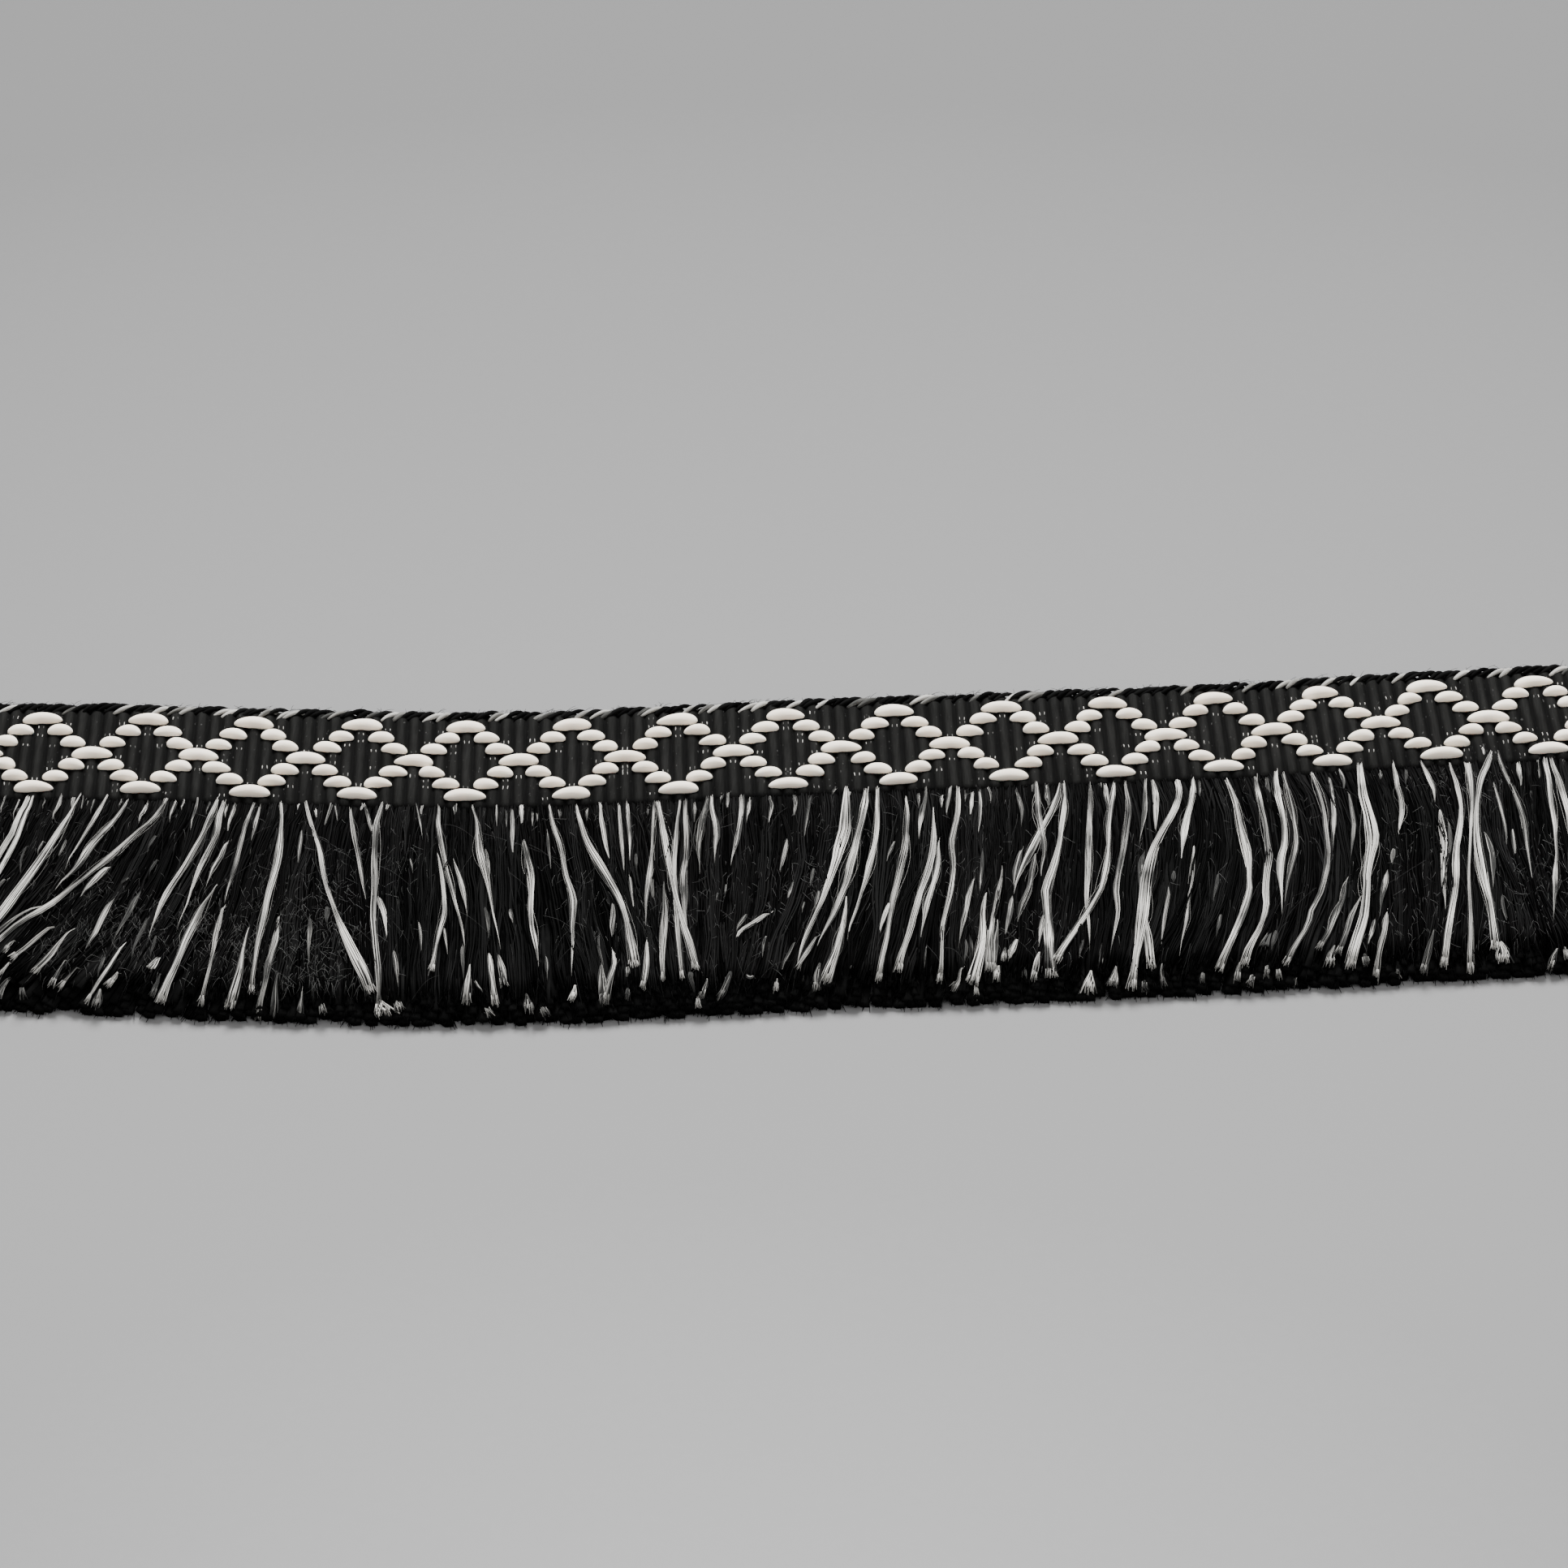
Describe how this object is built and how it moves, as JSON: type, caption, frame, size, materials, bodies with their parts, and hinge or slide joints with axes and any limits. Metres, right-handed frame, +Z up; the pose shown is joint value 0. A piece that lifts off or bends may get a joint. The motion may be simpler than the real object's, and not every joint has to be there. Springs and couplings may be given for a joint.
{
  "type": "brush fringe trim",
  "caption": "Cut length of brush fringe: a black woven band with raised cream floats in a diamond lattice, and a dense black yarn fringe with cream yarns along one edge.",
  "frame": {"origin": "centre of the footprint, on the surface that the trim lies on", "axes": "+X along the band, +Y from the fringe tips towards the band's free edge, +Z up out of the surface"},
  "size_m": [0.1814, 0.0546, 0.0029],
  "materials": {
    "band_yarn": "matte black cotton cross ribs with a faint sheen",
    "fringe_yarn": "matte black loose cotton yarn",
    "cream_yarn": "soft off-white cotton yarn"
  },
  "bodies": {
    "root": {"heading": "band_yarn", "fringe": "fringe_yarn"}
  },
  "joints": []
}
